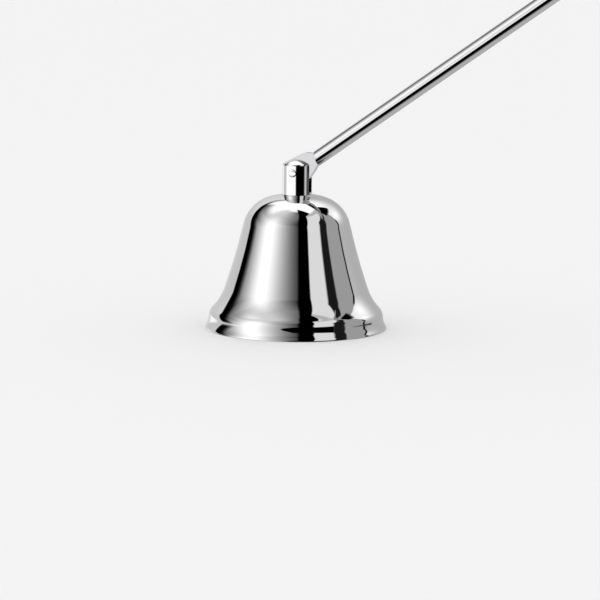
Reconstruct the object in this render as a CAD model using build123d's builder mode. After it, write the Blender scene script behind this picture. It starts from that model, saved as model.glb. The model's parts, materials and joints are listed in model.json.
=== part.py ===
from build123d import *

import os
from math import acos, asin, atan2, cos, degrees, pi, radians, sin, sqrt, tan

# A polished bell snuffer: a flared bell, a slotted hinge post on its crown and a long straight rod handle.
# The frame is in millimetres with +Z up. The origin is the centre of the bell's mouth, on the plane of its rim.
# The handle lies in the XZ plane and rises towards +X. The hinge turns about an axis along Y.

# Bell, spun from sheet, with a domed crown that is flat under the post. Angles are measured from the vertical.
mouth_radius = 22.0
bell_height = 32.5
bell_wall = 0.9
crown_flat_margin = 0.05
crown_radius = 26.4
crown_angle = 76.0
shoulder_radius = 8.9
skirt_radius = 157.0
flare_radius = 13.5
flare_angle = 40.5
step_radius = 6.0
step_angle = 7.5
lip_radius = 5.3
lip_angle = 28.5
rim_inner_radius = 0.3
rim_edge_round = 0.1

# Hinge post, turned from bar, with a slot for the handle and a threaded spigot through the crown
post_radius = 3.55
post_height = 8.65
post_cap_height = 1.3
post_corner_round = 0.5
post_foot_bevel = 0.1
post_edge_round = 0.12
pin_below_top = 3.25
spigot_radius = 2.0
spigot_end_length = 0.9
spigot_bevel = 0.35
crown_hole_clearance = 0.1

# Pivot pin, riveted in the two ears of the post
pin_radius = 1.0
pin_proud = 0.03

# Lock washer and nut that hold the post from inside the bell
washer_width = 1.5
washer_thickness = 0.9
washer_split = 0.5
washer_split_angle = 25.0
washer_clearance = 0.1
nut_sides = 6
nut_across_flats = 7.0
nut_thickness = 2.2
nut_bevel_angle = 30.0

# Handle, a round rod with a lug at one end that enters the slot. The lug is a plate with a round eye, and its
# neck is fuller on its upper side. The rod's full round begins at a slanted shoulder.
handle_length = 190.0
rod_radius = 1.8
rod_end_round = 1.4
eye_radius = 3.45
upper_knee_past_eye = 0.95
upper_knee_over_rod = 1.06
lower_knee_past_eye = 0.85
lower_knee_over_rod = 0.28
neck_knee_round = 2.0
shoulder_past_eye = 2.7
shoulder_slant = 15.0
neck_end_inset = 0.5
tongue_length = 1.0
lug_thickness = 1.9
lug_edge_bevel = 0.12
lug_side_clearance = 0.06
pin_running_clearance = 0.05
slot_floor_clearance = 1.3
handle_rise = 35.0

# Cuts run past the solid that they cut by this much
overrun = 1.0

top_z = bell_height + post_height
pin_z = top_z - pin_below_top
slot_width = lug_thickness + 2 * lug_side_clearance
slot_floor_z = pin_z - eye_radius - slot_floor_clearance
crown_flat_radius = post_radius + crown_flat_margin
crown_inner_z = bell_height - bell_wall
crown_centre = Vector(0, bell_height - sqrt(crown_radius**2 - crown_flat_radius**2))
spigot_length = bell_wall + washer_thickness + nut_thickness + spigot_end_length


def outward(angle):
    """The unit direction, in the plane of the bell's outline, that a wall leaning by this angle faces."""
    return Vector(cos(radians(angle)), sin(radians(angle)))


def skirt_fit(shoulder, flare):
    """The centre and end angles of the long arc that runs smoothly into the shoulder arc and the flare arc."""
    span = flare - shoulder
    to_shoulder = skirt_radius + shoulder_radius
    to_flare = skirt_radius - flare_radius
    away = span.length
    corner = acos((to_shoulder**2 + away**2 - to_flare**2) / (2 * to_shoulder * away))
    lean = degrees(atan2(span.Y, span.X) + corner)
    centre = shoulder + outward(lean) * to_shoulder
    foot = flare - centre
    return centre, lean, degrees(atan2(-foot.Y, -foot.X))


def bell_arcs():
    """The arcs of the bell's outside from shoulder to rim.

    Each has its centre, its radius, +1 where it bulges or -1 where it is hollow, and its first and last angle.
    """
    rim_radius = bell_wall + rim_inner_radius
    rim_centre = Vector(mouth_radius - rim_radius, 0)
    lip_centre = rim_centre + outward(lip_angle) * (rim_radius + lip_radius)
    step_centre = lip_centre - outward(step_angle) * (lip_radius + step_radius)
    flare_centre = step_centre + outward(flare_angle) * (step_radius + flare_radius)
    shoulder_centre = crown_centre + outward(crown_angle) * (crown_radius - shoulder_radius)
    skirt_centre, skirt_top_angle, skirt_foot_angle = skirt_fit(shoulder_centre, flare_centre)
    return [
        (shoulder_centre, shoulder_radius, 1, crown_angle, skirt_top_angle),
        (skirt_centre, skirt_radius, -1, skirt_top_angle, skirt_foot_angle),
        (flare_centre, flare_radius, -1, skirt_foot_angle, flare_angle),
        (step_centre, step_radius, 1, flare_angle, step_angle),
        (lip_centre, lip_radius, -1, step_angle, lip_angle),
        (rim_centre, rim_radius, 1, lip_angle, 0),
    ]


def draw_wall_face(inset):
    """One face of the bell's wall, this far inside its outside, from the axis to the rim."""
    level = bell_height - inset
    flat_edge_angle = degrees(asin((level - crown_centre.Y) / (crown_radius - inset)))
    crown = CenterArc(crown_centre, crown_radius - inset, flat_edge_angle, crown_angle - flat_edge_angle)
    Line((0, level), crown @ 0)
    for centre, radius, bulge, first, last in bell_arcs():
        turned = 0 if bulge > 0 else 180
        CenterArc(centre, radius - bulge * inset, turned + first, last - first)


# Bell: one sheet wall turned about the axis, with a hole in its crown for the spigot
with BuildPart() as bell:
    with BuildSketch(Plane.XZ):
        with BuildLine():
            draw_wall_face(0)
            draw_wall_face(bell_wall)
            Line((0, bell_height), (0, crown_inner_z))
            Line((mouth_radius - bell_wall, 0), (mouth_radius, 0))
        make_face()
    revolve(axis=Axis.Z)
    fillet(bell.edges().group_by(Axis.Z)[0], radius=rim_edge_round)
    with Locations((0, 0, bell_height)):
        Hole(radius=spigot_radius + crown_hole_clearance, depth=bell_wall)
bell.part.label = "bell"

# Hinge post: a cylinder with a spherical cap, standing on the crown, and its spigot below
cap_sphere_radius = (post_radius**2 + post_cap_height**2) / (2 * post_cap_height)
wall_top_z = top_z - post_cap_height
spigot_end_z = bell_height - spigot_length
with BuildPart() as hinge_post:
    with BuildSketch(Plane.XZ):
        with BuildLine():
            RadiusArc((0, top_z), (post_radius, wall_top_z), cap_sphere_radius)
            Polyline(
                (post_radius, wall_top_z),
                (post_radius, bell_height + post_foot_bevel),
                (post_radius - post_foot_bevel, bell_height),
                (spigot_radius, bell_height),
                (spigot_radius, spigot_end_z + spigot_bevel),
                (spigot_radius - spigot_bevel, spigot_end_z),
                (0, spigot_end_z),
                (0, top_z),
            )
        post_face = make_face()
        cap_corner = post_face.vertices().group_by(Axis.X)[-1].sort_by(Axis.Y)[-1]
        fillet(cap_corner, radius=post_corner_round)
    revolve(axis=Axis.Z)
    with BuildSketch(Plane.XY.offset(slot_floor_z)):
        Rectangle(2 * (post_radius + overrun), slot_width)
    extrude(amount=top_z - slot_floor_z + overrun, mode=Mode.SUBTRACT)
    ears = hinge_post.faces().filter_by(Axis.Y)
    ear_edges = ears.edges().filter_by(lambda edge: edge.center().Z > slot_floor_z + post_edge_round)
    fillet(ear_edges, radius=post_edge_round)
    with BuildSketch(Plane.XZ):
        with Locations((0, pin_z)):
            Circle(pin_radius)
    extrude(amount=post_radius + overrun, both=True, mode=Mode.SUBTRACT)
hinge_post.part.label = "hinge_post"

# Pivot pin: a plain pin, its ends dressed to the round of the post
with BuildPart() as pivot_pin:
    with BuildSketch(Plane.XZ):
        with Locations((0, pin_z)):
            Circle(pin_radius)
    extrude(amount=post_radius + overrun, both=True)
    with BuildSketch(Plane.XY.offset(pin_z - pin_radius - overrun)):
        Circle(post_radius + pin_proud)
    extrude(amount=2 * (pin_radius + overrun), mode=Mode.INTERSECT)
pivot_pin.part.label = "pivot_pin"

# Lock washer: a split ring of flat section under the crown, pressed flat by the nut
washer_inner_radius = spigot_radius + washer_clearance
with BuildPart() as lock_washer:
    with BuildSketch(Plane.XY.offset(crown_inner_z - washer_thickness)):
        Circle(washer_inner_radius + washer_width)
        Circle(washer_inner_radius, mode=Mode.SUBTRACT)
    extrude(amount=washer_thickness)
    with BuildSketch(Plane.YZ.offset(washer_inner_radius / 2)):
        with Locations((0, crown_inner_z - washer_thickness / 2)):
            Rectangle(washer_split, 2 * washer_thickness, rotation=washer_split_angle)
    extrude(amount=washer_inner_radius + washer_width, mode=Mode.SUBTRACT)
lock_washer.part.label = "lock_washer"

# Nut: a hexagon bevelled on both faces, run up the spigot against the washer
nut_top_z = crown_inner_z - washer_thickness
nut_foot_z = nut_top_z - nut_thickness
nut_corner_radius = nut_across_flats / 2 / cos(pi / nut_sides)
nut_bevel_height = (nut_corner_radius - nut_across_flats / 2) * tan(radians(nut_bevel_angle))
with BuildPart() as post_nut:
    with BuildSketch(Plane.XY.offset(nut_foot_z)):
        RegularPolygon(radius=nut_across_flats / 2, side_count=nut_sides, major_radius=False)
        Circle(spigot_radius, mode=Mode.SUBTRACT)
    extrude(amount=nut_thickness)
    with BuildSketch(Plane.XZ):
        with BuildLine():
            Polyline(
                (0, nut_foot_z),
                (nut_across_flats / 2, nut_foot_z),
                (nut_corner_radius, nut_foot_z + nut_bevel_height),
                (nut_corner_radius, nut_top_z - nut_bevel_height),
                (nut_across_flats / 2, nut_top_z),
                (0, nut_top_z),
                close=True,
            )
        make_face()
    revolve(axis=Axis.Z, mode=Mode.INTERSECT)
post_nut.part.label = "post_nut"


def eye_tangent(knee, side):
    """The point on the eye's round where the straight flank to this knee begins, on this side of the axis."""
    angle = atan2(knee.Y, knee.X) + side * acos(eye_radius / knee.length)
    return Vector(cos(angle), sin(angle)) * eye_radius


def shoulder_point(across):
    """The point of the slanted shoulder that lies this far across the handle's axis."""
    return Vector(eye_radius + shoulder_past_eye + across * tan(radians(shoulder_slant)), across)


# Handle: the rod is cut back to its slanted shoulder, and the lug's tongue is one with it
handle_way = Vector(cos(radians(handle_rise)), 0, sin(radians(handle_rise)))
handle_plane = Plane(origin=(0, 0, pin_z), x_dir=handle_way, z_dir=(0, -1, 0))
shoulder_lean = radians(handle_rise - shoulder_slant)
shoulder_plane = Plane(
    origin=handle_plane.from_local_coords(shoulder_point(0)),
    z_dir=(cos(shoulder_lean), 0, sin(shoulder_lean)),
)
with BuildPart() as rod:
    with BuildSketch(handle_plane):
        with BuildLine():
            Polyline(
                (eye_radius, 0),
                (eye_radius, rod_radius),
                (handle_length, rod_radius),
                (handle_length, 0),
                close=True,
            )
        rod_face = make_face()
        end_corner = rod_face.vertices().group_by(Axis.X)[-1].sort_by(Axis.Y)[-1]
        fillet(end_corner, radius=rod_end_round)
    revolve(axis=Axis(origin=(0, 0, pin_z), direction=handle_way))
    split(bisect_by=shoulder_plane, keep=Keep.TOP)

upper_knee = Vector(eye_radius + upper_knee_past_eye, rod_radius + upper_knee_over_rod)
lower_knee = Vector(eye_radius + lower_knee_past_eye, -rod_radius - lower_knee_over_rod)
neck_end_half = rod_radius - neck_end_inset
tongue_end = eye_radius + shoulder_past_eye + tongue_length
tongue_half = neck_end_half / 2
with BuildPart() as handle:
    with BuildSketch(handle_plane):
        with BuildLine():
            eye = ThreePointArc(eye_tangent(lower_knee, -1), (-eye_radius, 0), eye_tangent(upper_knee, 1))
            Polyline(
                eye @ 1,
                upper_knee,
                shoulder_point(neck_end_half),
                (tongue_end, tongue_half),
                (tongue_end, -tongue_half),
                shoulder_point(-neck_end_half),
                lower_knee,
                eye @ 0,
            )
        lug_face = make_face()
        knees = [lug_face.vertices().sort_by_distance(knee)[0] for knee in (upper_knee, lower_knee)]
        fillet(knees, radius=neck_knee_round)
    extrude(amount=lug_thickness / 2, both=True)
    chamfer(handle.faces().filter_by(Axis.Y).edges(), length=lug_edge_bevel)
    add(rod.part)
    with BuildSketch(handle_plane):
        Circle(pin_radius + pin_running_clearance)
    extrude(amount=lug_thickness, both=True, mode=Mode.SUBTRACT)
handle.part.label = "handle"

os.makedirs("parts", exist_ok=True)
export_step(bell.part, "parts/bell.step")
export_step(hinge_post.part, "parts/hinge_post.step")
export_step(pivot_pin.part, "parts/pivot_pin.step")
export_step(lock_washer.part, "parts/lock_washer.step")
export_step(post_nut.part, "parts/post_nut.step")
export_step(handle.part, "parts/handle.step")
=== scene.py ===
import json
from math import acos, asin, atan2, cos, degrees, pi, radians, sin, sqrt, tan

import bmesh
import bpy
from mathutils import Matrix, Vector


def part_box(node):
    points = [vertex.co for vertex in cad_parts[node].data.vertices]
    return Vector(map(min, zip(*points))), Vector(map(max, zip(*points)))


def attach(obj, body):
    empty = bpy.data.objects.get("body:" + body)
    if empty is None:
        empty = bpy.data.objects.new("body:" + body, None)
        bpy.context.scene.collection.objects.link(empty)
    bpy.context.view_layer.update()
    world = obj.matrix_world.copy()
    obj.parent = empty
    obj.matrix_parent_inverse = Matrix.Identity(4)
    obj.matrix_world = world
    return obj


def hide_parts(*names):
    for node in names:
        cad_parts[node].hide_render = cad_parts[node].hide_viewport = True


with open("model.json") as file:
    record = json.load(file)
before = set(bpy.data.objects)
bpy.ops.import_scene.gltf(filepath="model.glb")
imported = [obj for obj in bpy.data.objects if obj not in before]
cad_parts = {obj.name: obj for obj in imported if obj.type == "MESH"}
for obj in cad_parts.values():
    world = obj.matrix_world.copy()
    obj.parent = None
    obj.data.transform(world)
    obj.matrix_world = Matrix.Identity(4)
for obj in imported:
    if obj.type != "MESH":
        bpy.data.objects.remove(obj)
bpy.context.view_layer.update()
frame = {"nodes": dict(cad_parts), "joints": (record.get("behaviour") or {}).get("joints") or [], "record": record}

# A polished bell snuffer. Lengths are in metres, angles in degrees, and shades run from 0 black to 1 white.
millimetre = 0.001

# Places taken from the frame
hinge = Vector(frame["joints"][0]["pos_m"])
mounts = {mount["name"]: mount for mount in frame["record"]["mounts"]}
shaft = mounts["handle_shaft"]
handle_way = Vector(shaft["axis"]).normalized()
rod_radius = shaft["dims"]["r_mm"] * millimetre
shaft_half = shaft["dims"]["length_mm"] * millimetre / 2
shaft_end = (Vector(shaft["pos_m"]) - hinge).dot(handle_way) + shaft_half
bell_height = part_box("bell")[1][2]
pin_low, pin_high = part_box("pivot_pin")

# Bell, as wide and high as its solid. Angles are the wall's slopes from the vertical, where its arcs meet.
mouth_radius = 22 * millimetre
bell_wall = 0.9 * millimetre
crown_flat_radius = 3.6 * millimetre
crown_radius = 26.4 * millimetre
crown_angle = 76
shoulder_radius = 8.9 * millimetre
skirt_radius = 157 * millimetre
flare_radius = 13.5 * millimetre
flare_angle = 43
step_radius = 3.2 * millimetre
step_angle = 4
lip_radius = 5.6 * millimetre
lip_angle = 29
rim_inner_radius = 0.3 * millimetre
rim_edge_round = 0.1 * millimetre
rim_edge_step = 22.5
crown_hole_radius = 2.1 * millimetre
bell_turns = 240

# Handle. The lug's outline is measured from the hinge, along the handle and across it.
eye_radius = 3.45 * millimetre
eye_step = 3
upper_knee = Vector((4.4, 2.86)) * millimetre
lower_knee = Vector((4.3, -2.08)) * millimetre
knee_round = 2 * millimetre
shoulder_place = 6.15 * millimetre
shoulder_slant = 15
shoulder_round = 0.14 * millimetre
neck_end_half = 1.3 * millimetre
neck_overrun = 0.3 * millimetre
tongue_length = 1 * millimetre
tongue_half = 0.65 * millimetre
lug_half_thickness = 0.95 * millimetre
lug_edge_round = 0.2 * millimetre
bore_radius = 1.05 * millimetre
bore_step = 6
rod_end_round = 1.4 * millimetre
rod_end_step = 11.25
rod_end = shaft_end + rod_end_round
rod_turns = 96

# Pivot pin
pin_dome_radius = 7 * millimetre
pin_edge_round = 0.04 * millimetre
pin_turns = 64

# Meshes. An edge over the sharp angle is shaded sharp, and the lug's edges over the square angle are rounded.
arc_step = 2
fewest_steps = 2
merge_distance = 0.001 * millimetre
level_tolerance = 0.01 * millimetre
sharp_angle = 40
square_angle = 80
round_segments = 3
flat_face_weight = 100

# Finishes. A pattern's scale is the number of its grains in a metre.
plate_colour = (0.8, 0.8, 0.81, 1)
plate_roughness = 0.012
inside_roughness = 0.2
inside_blend = 0.02
# The rod's plate is darker than the bell's: painted shade that dims the rod's reflections.
rod_colour_with_painted_shade = (0.7, 0.7, 0.71, 1)
# The lug's flats are darker still: painted shade that dims their reflections, while their rougher satin is a real
# finish.
lug_flat_colour_with_painted_shade = (0.6, 0.6, 0.61, 1)
lug_roughness = 0.2
flat_facing = (0.97, 0.99)
satin_end_start = 0.2 * millimetre
satin_end_finish = 0.8 * millimetre
turning_scale = 9000.0
drawing_scale = 7000.0
drawing_stretch = 0.995
line_detail = 1
line_strength = 0.1
line_depth = 0.001 * millimetre
haze_scale = 180.0
haze_least = 0.7
haze_gain = 0.6
smear_start = 0.62
smear_finish = 0.8
smear_roughness = 0.01
zinc_colour = (0.56, 0.57, 0.58, 1)
washer_roughness = 0.32
nut_roughness = 0.26
mottle_scale = 2500.0
mottle_detail = 3
mottle_middle = 0.5
mottle_gain = 0.25
grain_scale = 12000.0
grain_strength = 0.3
grain_depth = 0.004 * millimetre

# Camera, with its lens and sensor in millimetres
lens = 156
sensor = 36
camera_distance = 0.632
camera_azimuth = 20
camera_elevation = 8.8
camera_roll = 0.57
aim_height = 6.68 * millimetre
aim_right = 0.97 * millimetre

# Floor, backdrop and light
floor_radius = 4
floor_sides = 96
floor_roughness = 0.9
floor_colour = (0.93, 0.93, 0.93, 1)
backdrop_colour = (0.93, 0.93, 0.93, 1)
soft_light = 0.98
plate_shade = 0.8
screen_power = 2.2

# Studio. Azimuths run from the camera's side to its right, and elevations run up from the horizon.
# Two angles are the sides of a card, or the start and finish of a change that takes the next two values.
white = 1.0
black = 0.0

# Backdrop behind the object, with a bright patch
backdrop_change = (-20, 20)
backdrop_shades = (0.74, 0.66)
backdrop_lightening = (22, 56)
patch_azimuth = 120
patch_elevation = 30
patch_half_width = 17
patch_half_height = 9

# Soft box at the left. Its losses are the shade lost with each degree from its middle.
box_sides = (-146, 12)
box_side_soft = 8
box_top = (76, 84)
box_middle = -62
box_middle_round = 12
box_middle_change = (-66, -58)
box_dimming = (30, 55)
box_shades = (1.05, 0.8)
left_loss_change = (27, 38)
left_losses = (0.018, 0.0095)
right_loss_change = (36, 56)
right_losses = (0.0145, 0.0072)
ceiling_change = (38, 58)
ceiling_end = (-106, -58)

# Black edge of the soft box
edge_lean = 0.97
edge_bend_change = (28, 48)
edge_bend = 14
edge_near_side = (-104, -82)
edge_far_side = (-115, -110)
edge_heights = (2, 40)
edge_height_soft = 8
beyond_top = (32, 46)
beyond_change = (8, 34)
beyond_shades = (0.75, 0.84)

# Grey wall at the right, with a dark joint
wall_sides = (20, 107)
wall_side_soft = 2
wall_top = (64, 70)
wall_change = (55, 60)
wall_shades = (0.59, 0.68)
joint_change = (8, 15)
joint_azimuths = (101, 107)
joint_half = 1.8
joint_soft = 2
joint_top = (22, 30)
joint_shade = 0.02

# Light panel at the right, with a dark strip
panel_start = (14, 20)
panel_change = (14, 37)
panel_ends = (50.5, 57)
panel_spread_change = (37, 55)
panel_spread = 26
panel_end_before = 2
panel_end_after = 3
panel_top = (58, 62)
panel_shade = 0.845
strip_ends = (67.5, 77.5)
strip_spread_change = (38, 50)
strip_spread = 14
strip_soft = 2
strip_top = (54, 58)
strip_shade = 0.12

# Black block at the right
block_sides = (97, 134)
block_side_soft = 4
block_heights = (44, 60)
block_height_soft = 5
block_shade = 0.01

# Black wedge in front
wedge_left_change = (44, 70)
wedge_left_sides = (4, 10)
wedge_left_soft = 3.5
wedge_right_change = (27, 37)
wedge_right_sides = (24, 27)
wedge_spread_change = (37, 62)
wedge_spread = 8
overhead_change = (62, 68)
overhead_spread = 26
wedge_right_soft = 1.5

# Dark front near the horizon
front_sides = (-18, 52)
front_side_soft = 6
front_top_change = (-19, -3)
front_tops = (3, 15)
front_top_soft = 2

# Row of shades just under the horizon, from the back left round to the back right
row_shades = (0.78, 0.95, 0.75, white, black, 0.74, 0.3, 0.66)
row_changes = ((-160, -146), (-136, -120), (-98, -88), (-15, -5), (50, 66), (72, 84), (114, 122))
row_top = (-3, 0)

# Pale floor, with a dark front and a dark shelf
ground_top = (-17, -12)
ground_shade = 0.7
ground_front_sides = (-34, 56)
ground_front_soft = 20
ground_front_change = (-62, -44)
ground_front_shade = 0.02
shelf_sides = (-165, -105)
shelf_side_soft = 10
shelf_heights = (-44, -20)
shelf_height_soft = 6
shelf_shade = 0.1


class Value:
    """A number worked out by the nodes. Sums on it add Math nodes."""

    def __init__(self, nodes, socket):
        self.nodes = nodes
        self.socket = socket

    def __add__(self, other):
        return self.nodes.maths("ADD", self, other)

    def __sub__(self, other):
        return self.nodes.maths("SUBTRACT", self, other)

    def __rsub__(self, other):
        return self.nodes.maths("SUBTRACT", other, self)

    def __mul__(self, other):
        return self.nodes.maths("MULTIPLY", self, other)

    def __truediv__(self, other):
        return self.nodes.maths("DIVIDE", self, other)

    def __pow__(self, other):
        return self.nodes.maths("POWER", self, other)

    def __abs__(self):
        return self.nodes.maths("ABSOLUTE", self)

    __radd__ = __add__
    __rmul__ = __mul__


class Nodes:
    """The node tree of a material or of the world."""

    def __init__(self, owner):
        owner.use_nodes = True
        self.tree = owner.node_tree
        self.tree.nodes.clear()

    def node(self, kind, settings, sockets, output=0):
        """Adds a node, with its settings first and then the values or links of its sockets."""
        made = self.tree.nodes.new("ShaderNode" + kind)
        for name, value in settings.items():
            setattr(made, name, value)
        for name, value in sockets.items():
            if isinstance(value, Value):
                self.tree.links.new(value.socket, made.inputs[name])
            else:
                made.inputs[name].default_value = value
        return Value(self, made.outputs[output]) if made.outputs else None

    def maths(self, operation, *values):
        return self.node("Math", {"operation": operation}, dict(enumerate(values)))

    def dot(self, vector, way):
        return self.node("VectorMath", {"operation": "DOT_PRODUCT"}, {0: vector, 1: way}, "Value")

    def rise(self, value, low, high):
        """0 below low and 1 above high, with a smooth change between them."""
        sockets = {"Value": value, "From Min": low, "From Max": high}
        return self.node("MapRange", {"interpolation_type": "SMOOTHSTEP"}, sockets)

    def fall(self, value, low, high):
        """1 below low and 0 above high, with a smooth change between them."""
        return 1 - self.rise(value, low, high)

    def ramp(self, value, low, high, first, last):
        """The first result below low and the last above high, in a straight line between them."""
        sockets = {"Value": value, "From Min": low, "From Max": high, "To Min": first, "To Max": last}
        return self.node("MapRange", {}, sockets)

    def card(self, value, low, high, soft):
        """1 between low and high, with soft edges that wide."""
        half = soft / 2
        return self.rise(value, low - half, low + half) * self.fall(value, high - half, high + half)

    def mix(self, factor, low, high):
        """Low where the factor is 0 and high where it is 1."""
        return low + (high - low) * factor


# Studio that the plated metal mirrors

def metal_light(shade):
    """The strength that shows as this shade in the plated metal."""
    return shade ** screen_power / plate_shade


def backdrop(nodes, azimuth, elevation):
    """The backdrop behind the object, lighter towards the ceiling, with a bright patch at its right."""
    shade = nodes.mix(nodes.rise(azimuth, *backdrop_change), *backdrop_shades)
    across = (azimuth - patch_azimuth) / patch_half_width
    upward = (elevation - patch_elevation) / patch_half_height
    patch = nodes.maths("EXPONENT", (across ** 2 + upward ** 2) * -0.5)
    shade = nodes.mix(patch, shade, white)
    return nodes.mix(nodes.rise(elevation, *backdrop_lightening), shade, white)


def soft_box(nodes, azimuth, elevation, shade):
    """The soft box at the left, brightest in its middle and dimmer at its top, and the ceiling behind."""
    off_middle = ((azimuth - box_middle) ** 2 + box_middle_round ** 2) ** 0.5 - box_middle_round
    left_loss = nodes.ramp(elevation, *left_loss_change, *left_losses)
    right_loss = nodes.ramp(elevation, *right_loss_change, *right_losses)
    loss = nodes.mix(nodes.rise(azimuth, *box_middle_change), left_loss, right_loss)
    box_shade = nodes.ramp(elevation, *box_dimming, *box_shades) - off_middle * loss
    box = nodes.card(azimuth, *box_sides, box_side_soft) * nodes.fall(elevation, *box_top)
    shade = nodes.mix(box, shade, box_shade)
    ceiling = nodes.rise(elevation, *ceiling_change) * nodes.fall(azimuth, *ceiling_end)
    return nodes.mix(ceiling, shade, white)


def box_edge(nodes, azimuth, elevation, shade):
    """The black edge of the soft box, leaning back, and the backdrop beyond it."""
    lean = azimuth + elevation * edge_lean + nodes.ramp(elevation, *edge_bend_change, 0, edge_bend)
    edge = nodes.fall(lean, *edge_near_side) * nodes.card(elevation, *edge_heights, edge_height_soft)
    shade = shade * (1 - edge)
    beyond = nodes.fall(lean, *edge_far_side) * nodes.fall(elevation, *beyond_top)
    return nodes.mix(beyond, shade, nodes.ramp(elevation, *beyond_change, *beyond_shades))


def grey_wall(nodes, azimuth, elevation, shade):
    """The grey wall at the right, with a thin dark joint near its far end."""
    wall = nodes.card(azimuth, *wall_sides, wall_side_soft) * nodes.fall(elevation, *wall_top)
    shade = nodes.mix(wall, shade, nodes.ramp(elevation, *wall_change, *wall_shades))
    off_joint = azimuth - nodes.ramp(elevation, *joint_change, *joint_azimuths)
    joint = nodes.card(off_joint, -joint_half, joint_half, joint_soft) * nodes.fall(elevation, *joint_top)
    return nodes.mix(joint, shade, joint_shade)


def light_panel(nodes, azimuth, elevation, shade):
    """The light panel at the right, and the dark strip along its end. Both reach further round at the top."""
    panel_end = nodes.ramp(elevation, *panel_change, *panel_ends)
    panel_end = panel_end + nodes.ramp(elevation, *panel_spread_change, 0, panel_spread)
    strip_end = nodes.ramp(elevation, *panel_change, *strip_ends)
    strip_end = strip_end + nodes.ramp(elevation, *strip_spread_change, 0, strip_spread)
    past_panel = nodes.rise(azimuth, panel_end - panel_end_before, panel_end + panel_end_after)
    strip = past_panel * nodes.fall(azimuth, strip_end - strip_soft, strip_end + strip_soft)
    shade = nodes.mix(strip * nodes.fall(elevation, *strip_top), shade, strip_shade)
    panel = nodes.rise(azimuth, *panel_start) * (1 - past_panel)
    return nodes.mix(panel * nodes.fall(elevation, *panel_top), shade, panel_shade)


def high_block(nodes, azimuth, elevation, shade):
    """The black block high at the right."""
    sides = nodes.card(azimuth, *block_sides, block_side_soft)
    heights = nodes.card(elevation, *block_heights, block_height_soft)
    return nodes.mix(sides * heights, shade, block_shade)


def front_wedge(nodes, azimuth, elevation, shade):
    """The black wedge in front, which widens overhead."""
    left = nodes.ramp(elevation, *wedge_left_change, *wedge_left_sides)
    right = nodes.ramp(elevation, *wedge_right_change, *wedge_right_sides)
    right = right + nodes.ramp(elevation, *wedge_spread_change, 0, wedge_spread)
    right = right + nodes.rise(elevation, *overhead_change) * overhead_spread
    past_left = nodes.rise(azimuth, left - wedge_left_soft, left + wedge_left_soft)
    before_right = nodes.fall(azimuth, right - wedge_right_soft, right + wedge_right_soft)
    return nodes.mix(past_left * before_right, shade, black)


def dark_front(nodes, azimuth, elevation, shade):
    """The front, which is dark near the horizon."""
    top = nodes.ramp(azimuth, *front_top_change, *front_tops)
    sides = nodes.card(azimuth, *front_sides, front_side_soft)
    front = sides * nodes.fall(elevation, top - front_top_soft, top + front_top_soft)
    return nodes.mix(front, shade, black)


def low_row(nodes, azimuth, elevation, shade):
    """The row of shades just under the horizon."""
    row = row_shades[0]
    for change, next_shade in zip(row_changes, row_shades[1:]):
        row = nodes.mix(nodes.rise(azimuth, *change), row, next_shade)
    return nodes.mix(nodes.rise(elevation, *row_top), row, shade)


def mirrored_ground(nodes, azimuth, elevation, shade):
    """The floor, pale but for its dark front, and a dark shelf at the back left."""
    front_shade = nodes.ramp(elevation, *ground_front_change, ground_shade, ground_front_shade)
    ground = nodes.mix(nodes.card(azimuth, *ground_front_sides, ground_front_soft), ground_shade, front_shade)
    sides = nodes.card(azimuth, *shelf_sides, shelf_side_soft)
    shelf = sides * nodes.card(elevation, *shelf_heights, shelf_height_soft)
    ground = nodes.mix(shelf, ground, shelf_shade)
    return nodes.mix(nodes.rise(elevation, *ground_top), ground, shade)


def studio_shade(nodes, azimuth, elevation):
    """The shade of the studio in each direction. Each part covers some of the parts before it."""
    parts = (
        soft_box,
        box_edge,
        grey_wall,
        light_panel,
        high_block,
        front_wedge,
        dark_front,
        low_row,
        mirrored_ground,
    )
    shade = backdrop(nodes, azimuth, elevation)
    for part in parts:
        shade = part(nodes, azimuth, elevation, shade)
    return shade


def studio():
    """The studio for the metal to mirror, soft light for the rest, and a plain pale backdrop to look at."""
    world = bpy.data.worlds.new("studio")
    bpy.context.scene.world = world
    nodes = Nodes(world)
    way = nodes.node("TexCoord", {}, {}, "Generated")
    turn = radians(camera_azimuth)
    front = nodes.dot(way, (sin(turn), -cos(turn), 0))
    right = nodes.dot(way, (cos(turn), sin(turn), 0))
    up = nodes.dot(way, (0, 0, 1))
    azimuth = nodes.maths("ARCTAN2", right, front) * degrees(1)
    elevation = nodes.maths("ARCSINE", up) * degrees(1)
    light = metal_light(studio_shade(nodes, azimuth, elevation))
    mirrored = nodes.node("Background", {}, {"Color": light, "Strength": 1.0})
    soft = nodes.node("Background", {}, {"Color": (1, 1, 1, 1), "Strength": soft_light})
    plain = nodes.node("Background", {}, {"Color": backdrop_colour, "Strength": 1.0})
    camera_ray = nodes.node("LightPath", {}, {}, "Is Camera Ray")
    glossy_ray = nodes.node("LightPath", {}, {}, "Is Glossy Ray")
    unmirrored = nodes.node("MixShader", {}, {0: camera_ray, 1: soft, 2: plain})
    surface = nodes.node("MixShader", {}, {0: glossy_ray, 1: unmirrored, 2: mirrored})
    nodes.node("OutputWorld", {}, {"Surface": surface})


# Meshes

def merge(mesh):
    """Merges doubled points and turns the faces outwards."""
    bmesh.ops.remove_doubles(mesh, verts=mesh.verts, dist=merge_distance)
    bmesh.ops.recalc_face_normals(mesh, faces=mesh.faces)


def object_from(mesh, name, body=None):
    """An object at the origin from a bmesh, smooth but for its sharp edges. A piece rides on a body."""
    merge(mesh)
    data = bpy.data.meshes.new(name)
    mesh.to_mesh(data)
    mesh.free()
    data.shade_smooth()
    data.set_sharp_from_angle(angle=radians(sharp_angle))
    piece = bpy.data.objects.new(name, data)
    bpy.context.scene.collection.objects.link(piece)
    if body:
        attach(piece, body)
    return piece


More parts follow.
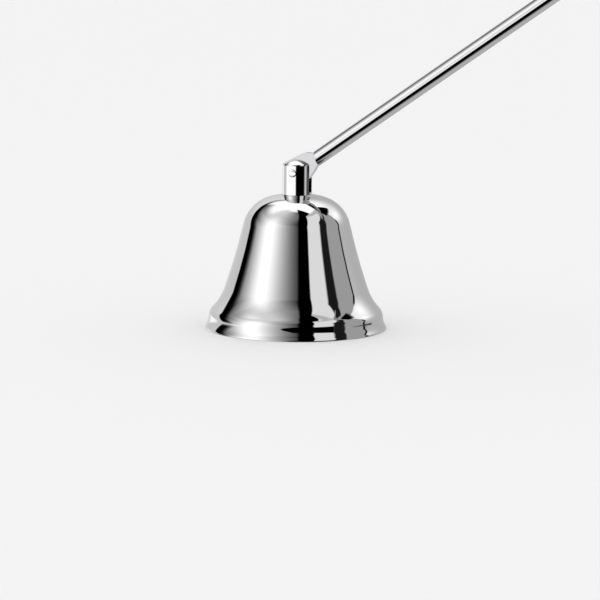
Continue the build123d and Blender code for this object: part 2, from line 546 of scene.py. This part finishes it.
def chain(mesh, points, closed=False):
    """Joins points into a line of edges, or into a ring."""
    verts = [mesh.verts.new(point) for point in points]
    for first, second in zip(verts, verts[1:]):
        mesh.edges.new((first, second))
    if closed:
        mesh.edges.new((verts[-1], verts[0]))


def turned(mesh, centre, axis, turns):
    """Turns every line of the mesh about an axis into a closed skin."""
    bmesh.ops.spin(
        mesh,
        geom=list(mesh.verts) + list(mesh.edges),
        cent=centre,
        axis=axis,
        dvec=(0, 0, 0),
        angle=2 * pi,
        steps=turns,
        use_merge=True,
        use_duplicate=False,
    )


def round_edges(mesh, edges, width):
    """Rounds edges off, with the new faces starting this far from them."""
    bmesh.ops.bevel(
        mesh,
        geom=edges,
        offset=width,
        offset_type="OFFSET",
        segments=round_segments,
        profile=0.5,
        affect="EDGES",
        material=-1,
        clamp_overlap=True,
    )


def outward(angle):
    """A step of one in the plane of an outline, at this angle above the level."""
    return Vector((cos(radians(angle)), sin(radians(angle))))


def way_angle(way):
    """The angle of a way in the plane of an outline, above the level."""
    return degrees(atan2(way.y, way.x))


def arc(centre, radius, first, last, turn=arc_step):
    """Points of an arc in the plane of an outline, about this many degrees apart."""
    steps = max(fewest_steps, round(abs(last - first) / turn))
    return [centre + outward(first + (last - first) * step / steps) * radius for step in range(steps + 1)]


# Bell

def skirt_fit(shoulder, flare):
    """The centre and end angles of the long arc that runs smoothly into the shoulder and flare arcs."""
    span = flare - shoulder
    to_shoulder = skirt_radius + shoulder_radius
    to_flare = skirt_radius - flare_radius
    corner = acos((to_shoulder**2 + span.length_squared - to_flare**2) / (2 * to_shoulder * span.length))
    lean = degrees(atan2(span.y, span.x) + corner)
    centre = shoulder + outward(lean) * to_shoulder
    return centre, lean, way_angle(centre - flare)


def wall_line(inset):
    """One face of the bell's wall, this far inside its outside, from the hole in its crown to its rim."""
    crown_centre = Vector((0, bell_height - sqrt(crown_radius**2 - crown_flat_radius**2)))
    rim_radius = bell_wall + rim_inner_radius
    rim_centre = Vector((mouth_radius - rim_radius, 0))
    lip_centre = rim_centre + outward(lip_angle) * (rim_radius + lip_radius)
    step_centre = lip_centre - outward(step_angle) * (lip_radius + step_radius)
    flare_centre = step_centre + outward(flare_angle) * (step_radius + flare_radius)
    shoulder_centre = crown_centre + outward(crown_angle) * (crown_radius - shoulder_radius)
    skirt_centre, skirt_top, skirt_foot = skirt_fit(shoulder_centre, flare_centre)
    flat_edge = degrees(acos(crown_flat_radius / crown_radius))
    level = bell_height - inset
    rim_end = degrees(asin(rim_edge_round / (rim_radius - inset)))
    points = [Vector((crown_hole_radius, level))]
    points += arc(crown_centre, crown_radius - inset, flat_edge, crown_angle)
    points += arc(shoulder_centre, shoulder_radius - inset, crown_angle, skirt_top)[1:]
    points += arc(skirt_centre, -skirt_radius - inset, skirt_top, skirt_foot)[1:]
    points += arc(flare_centre, -flare_radius - inset, skirt_foot, flare_angle)[1:]
    points += arc(step_centre, step_radius - inset, flare_angle, step_angle)[1:]
    points += arc(lip_centre, -lip_radius - inset, step_angle, lip_angle)[1:]
    points += arc(rim_centre, rim_radius - inset, lip_angle, rim_end)[1:]
    return points


def bell():
    """The shell, turned from the line of its wall, with its rim's two edges rounded."""
    outside = wall_line(0)
    inside = wall_line(bell_wall)
    outer_round = Vector((outside[-1].x - rim_edge_round, rim_edge_round))
    inner_round = Vector((inside[-1].x + rim_edge_round, rim_edge_round))
    rim = arc(outer_round, rim_edge_round, 0, -90, rim_edge_step)
    rim += arc(inner_round, rim_edge_round, -90, -180, rim_edge_step)
    section = outside + rim + inside[::-1]
    mesh = bmesh.new()
    chain(mesh, [(point.x, 0, point.y) for point in section], closed=True)
    turned(mesh, (0, 0, 0), (0, 0, 1), bell_turns)
    piece = object_from(mesh, "bell_shell", "bell_head")
    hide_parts("bell")
    bell_finish(piece)


# Handle

def on_handle(along, across, aside=0):
    """A point by its way along the handle from the hinge, across it upwards, and to its side."""
    upward = Vector((-handle_way.z, 0, handle_way.x))
    return hinge + handle_way * along + upward * across + Vector((0, aside, 0))


def rod():
    """The round rod, cut off by its slanted shoulder, with its far end rounded."""
    round_centre = Vector((rod_end - rod_end_round, rod_radius - rod_end_round))
    line = [Vector((eye_radius, 0)), Vector((eye_radius, rod_radius))]
    line += arc(round_centre, rod_end_round, 90, 0, rod_end_step) + [Vector((rod_end, 0))]
    mesh = bmesh.new()
    chain(mesh, [on_handle(point.x, point.y) for point in line])
    turned(mesh, hinge, handle_way, rod_turns)
    merge(mesh)
    face_way = on_handle(cos(radians(shoulder_slant)), -sin(radians(shoulder_slant))) - hinge
    cut = bmesh.ops.bisect_plane(
        mesh,
        geom=list(mesh.verts) + list(mesh.edges) + list(mesh.faces),
        plane_co=on_handle(shoulder_place, 0),
        plane_no=face_way,
        clear_inner=True,
    )
    rim = [item for item in cut["geom_cut"] if isinstance(item, bmesh.types.BMEdge)]
    bmesh.ops.holes_fill(mesh, edges=rim, sides=0)
    round_edges(mesh, rim, shoulder_round)
    return mesh


def knee_arc(before, knee, after):
    """The round at a knee of the lug's outline, which is walked anticlockwise."""
    first = way_angle(knee - before) - 90
    last = way_angle(after - knee) - 90
    if last < first:
        last += 360
    reach = knee_round / cos(radians(last - first) / 2)
    centre = knee - outward((first + last) / 2) * reach
    return arc(centre, knee_round, first, last, eye_step)


def neck_end(knee, across):
    """The end of the neck's flank from this knee, just past the rod's shoulder."""
    shoulder = Vector((shoulder_place + across * tan(radians(shoulder_slant)), across))
    return shoulder + (shoulder - knee).normalized() * neck_overrun


def lug_outline():
    """The eye, its two flanks, and the neck, which ends in a tongue inside the rod."""
    lower_end = neck_end(lower_knee, -neck_end_half)
    upper_end = neck_end(upper_knee, neck_end_half)
    tongue_end = shoulder_place + tongue_length
    first = way_angle(upper_knee) + degrees(acos(eye_radius / upper_knee.length))
    last = way_angle(lower_knee) - degrees(acos(eye_radius / lower_knee.length)) + 360
    outline = arc(Vector((0, 0)), eye_radius, first, last, eye_step)
    outline += knee_arc(outline[-1], lower_knee, lower_end) + [lower_end]
    outline += [Vector((tongue_end, -tongue_half)), Vector((tongue_end, tongue_half)), upper_end]
    return outline + knee_arc(upper_end, upper_knee, outline[0])


def lug():
    """The flat plate of the lug, with a bore for the pin."""
    mesh = bmesh.new()
    bore = arc(Vector((0, 0)), bore_radius, 0, 360 - bore_step, bore_step)
    for outline in (lug_outline(), bore):
        points = [on_handle(point.x, point.y, -lug_half_thickness) for point in outline]
        chain(mesh, points, closed=True)
    bmesh.ops.triangle_fill(mesh, use_beauty=True, use_dissolve=False, edges=list(mesh.edges))
    made = bmesh.ops.extrude_face_region(mesh, geom=list(mesh.faces))
    moved = [item for item in made["geom"] if isinstance(item, bmesh.types.BMVert)]
    bmesh.ops.translate(mesh, verts=moved, vec=(0, 2 * lug_half_thickness, 0))
    bmesh.ops.recalc_face_normals(mesh, faces=mesh.faces)
    level = [edge for edge in mesh.edges if abs(edge.verts[0].co.y - edge.verts[1].co.y) < level_tolerance]
    rims = [edge for edge in level if edge.calc_face_angle(0) > radians(square_angle)]
    round_edges(mesh, rims, lug_edge_round)
    return mesh


def handle():
    """The rod and the lug, joined into one piece of metal."""
    piece = object_from(rod(), "handle_rod", "handle")
    flat_end = object_from(lug(), "handle_lug")
    join = piece.modifiers.new("lug", "BOOLEAN")
    join.operation = "UNION"
    join.solver = "EXACT"
    join.object = flat_end
    joined = bpy.data.meshes.new_from_object(piece.evaluated_get(bpy.context.evaluated_depsgraph_get()))
    piece.modifiers.clear()
    piece.data = joined
    joined.set_sharp_from_angle(angle=radians(sharp_angle))
    bpy.data.objects.remove(flat_end)
    weighted = piece.modifiers.new("weighted", "WEIGHTED_NORMAL")
    weighted.weight = flat_face_weight
    weighted.keep_sharp = True
    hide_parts("handle")
    handle_finish(piece)


# Pivot pin

def pivot_pin():
    """A pin with slightly domed ends."""
    radius = (pin_high[0] - pin_low[0]) / 2
    reach = pin_high[1]
    spread = degrees(asin((radius - pin_edge_round) / pin_dome_radius))
    dome_centre = Vector((reach - pin_dome_radius, 0))
    end = arc(dome_centre, pin_dome_radius, 0, spread)
    end += [Vector((end[-1].x - pin_edge_round, radius))]
    line = end + [Vector((-point.x, point.y)) for point in reversed(end)]
    mesh = bmesh.new()
    chain(mesh, [hinge + Vector((point.y, point.x, 0)) for point in line])
    turned(mesh, hinge, (0, 1, 0), pin_turns)
    piece = object_from(mesh, "pin_riveted", "bell_head")
    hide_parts("pivot_pin")
    turned_finish(piece, "pin_chrome")


# Finishes

def new_material(name, piece):
    """A new material, the only one on the piece."""
    material = bpy.data.materials.new(name)
    piece.data.materials.clear()
    piece.data.materials.append(material)
    return material


def finish(nodes, surface):
    nodes.node("OutputMaterial", {}, {"Surface": surface})


def noise(nodes, place, scale, detail=2):
    return nodes.node("TexNoise", {}, {"Vector": place, "Scale": scale, "Detail": detail}, "Fac")


def object_place(nodes):
    return nodes.node("TexCoord", {}, {}, "Object")


def face_normal(nodes):
    return nodes.node("TexCoord", {}, {}, "Normal")


def plate(nodes, place, lines, roughness, colour=plate_colour):
    """Plated metal with faint polishing lines and a little haze, which smears where it is thickest."""
    haze = noise(nodes, place, haze_scale)
    smears = nodes.rise(haze, smear_start, smear_finish) * smear_roughness
    rough = roughness * (haze_least + haze * haze_gain) + smears
    line_sockets = {"Strength": line_strength, "Distance": line_depth, "Height": lines}
    bump = nodes.node("Bump", {}, line_sockets, "Normal")
    sockets = {"Base Color": colour, "Metallic": 1.0, "Roughness": rough, "Normal": bump}
    return nodes.node("BsdfPrincipled", {}, sockets)


def turning_lines(nodes, place):
    """Fine level lines round an upright axis, as turning and polishing leave them."""
    sockets = {"W": nodes.dot(place, (0, 0, 1)), "Scale": turning_scale, "Detail": line_detail}
    return nodes.node("TexNoise", {"noise_dimensions": "1D"}, sockets, "Fac")


def bell_finish(piece):
    """Mirror outside with fine turning lines, and duller inside."""
    nodes = Nodes(new_material("bell_chrome", piece))
    place = object_place(nodes)
    level_place = nodes.node("VectorMath", {"operation": "MULTIPLY"}, {0: place, 1: (1, 1, 0)})
    outward_way = nodes.node("VectorMath", {"operation": "NORMALIZE"}, {0: level_place})
    facing = nodes.dot(face_normal(nodes), outward_way)
    lines = turning_lines(nodes, place)
    outer = plate(nodes, place, lines, plate_roughness)
    inner = plate(nodes, place, lines, inside_roughness)
    inside = nodes.fall(facing, -inside_blend, inside_blend)
    finish(nodes, nodes.node("MixShader", {}, {0: inside, 1: outer, 2: inner}))


def handle_finish(piece):
    """Mirror rod with fine lines along it, and satin flats on the lug. Both are plated darker than the bell, as
    painted shade.
    """
    nodes = Nodes(new_material("handle_chrome", piece))
    place = object_place(nodes)
    way = tuple(handle_way)
    along = nodes.dot(place, way)
    back = nodes.node("VectorMath", {"operation": "SCALE"}, {0: way, "Scale": along * -drawing_stretch})
    drawn = nodes.node("VectorMath", {"operation": "ADD"}, {0: place, 1: back})
    lines = noise(nodes, drawn, drawing_scale, line_detail)
    aside = abs(nodes.dot(face_normal(nodes), (0, 1, 0)))
    lug_end = hinge.dot(handle_way) + shoulder_place
    near = nodes.fall(along, lug_end + satin_end_start, lug_end + satin_end_finish)
    # The flats facing sideways get a rougher satin finish and a darker plate, which is painted shade.
    flats_with_painted_shade = nodes.rise(aside, *flat_facing) * near
    # The rod's darker plate is painted shade.
    rod_metal_with_painted_shade = plate(nodes, place, lines, plate_roughness, rod_colour_with_painted_shade)
    satin_lug_with_painted_shade = plate(nodes, place, lines, lug_roughness, lug_flat_colour_with_painted_shade)
    finish(nodes, nodes.node("MixShader", {}, {0: flats_with_painted_shade, 1: rod_metal_with_painted_shade, 2: satin_lug_with_painted_shade}))


def turned_finish(piece, name):
    """Mirror plate on a small turned piece."""
    nodes = Nodes(new_material(name, piece))
    place = object_place(nodes)
    finish(nodes, plate(nodes, place, turning_lines(nodes, place), plate_roughness))


def zinc(piece, name, roughness):
    """Bright satin zinc with a fine mottle."""
    nodes = Nodes(new_material(name, piece))
    place = object_place(nodes)
    mottle = noise(nodes, place, mottle_scale, mottle_detail)
    grain = noise(nodes, place, grain_scale)
    grain_sockets = {"Strength": grain_strength, "Distance": grain_depth, "Height": grain}
    bump = nodes.node("Bump", {}, grain_sockets, "Normal")
    rough = roughness + (mottle - mottle_middle) * mottle_gain
    sockets = {"Base Color": zinc_colour, "Metallic": 1.0, "Roughness": rough, "Normal": bump}
    finish(nodes, nodes.node("BsdfPrincipled", {}, sockets))


# Floor and camera

def pale_floor():
    """A wide matt floor, which the metal doesn't mirror, because the studio has a floor of its own."""
    ground = bmesh.new()
    bmesh.ops.create_circle(ground, cap_ends=True, segments=floor_sides, radius=floor_radius)
    floor = object_from(ground, "floor")
    nodes = Nodes(new_material("pale_floor", floor))
    matt = nodes.node("BsdfPrincipled", {}, {"Base Color": floor_colour, "Roughness": floor_roughness})
    finish(nodes, matt)
    floor.visible_glossy = False


def camera():
    """The camera, turned about the upright axis to its azimuth and rolled a little."""
    azimuth = radians(camera_azimuth)
    tilt = radians(camera_elevation)
    back = Vector((sin(azimuth) * cos(tilt), -cos(azimuth) * cos(tilt), sin(tilt)))
    right = Vector((cos(azimuth), sin(azimuth), 0))
    upward = back.cross(right)
    roll = radians(camera_roll)
    aim = Vector((0, 0, aim_height)) + right * aim_right
    data = bpy.data.cameras.new("camera")
    data.lens = lens
    data.sensor_width = sensor
    eye = bpy.data.objects.new("camera", data)
    bpy.context.scene.collection.objects.link(eye)
    rolled_right = right * cos(roll) + upward * sin(roll)
    rolled_up = upward * cos(roll) - right * sin(roll)
    facing = Matrix((rolled_right, rolled_up, back)).transposed().to_4x4()
    eye.matrix_world = Matrix.Translation(aim + back * camera_distance) @ facing
    bpy.context.scene.camera = eye


# The studio, the floor, the pieces and the camera
studio()
pale_floor()
bell()
handle()
pivot_pin()
turned_finish(frame["nodes"]["hinge_post"], "post_chrome")
zinc(frame["nodes"]["lock_washer"], "washer_zinc", washer_roughness)
zinc(frame["nodes"]["post_nut"], "nut_zinc", nut_roughness)
camera()

bpy.context.scene.view_settings.view_transform = "Standard"
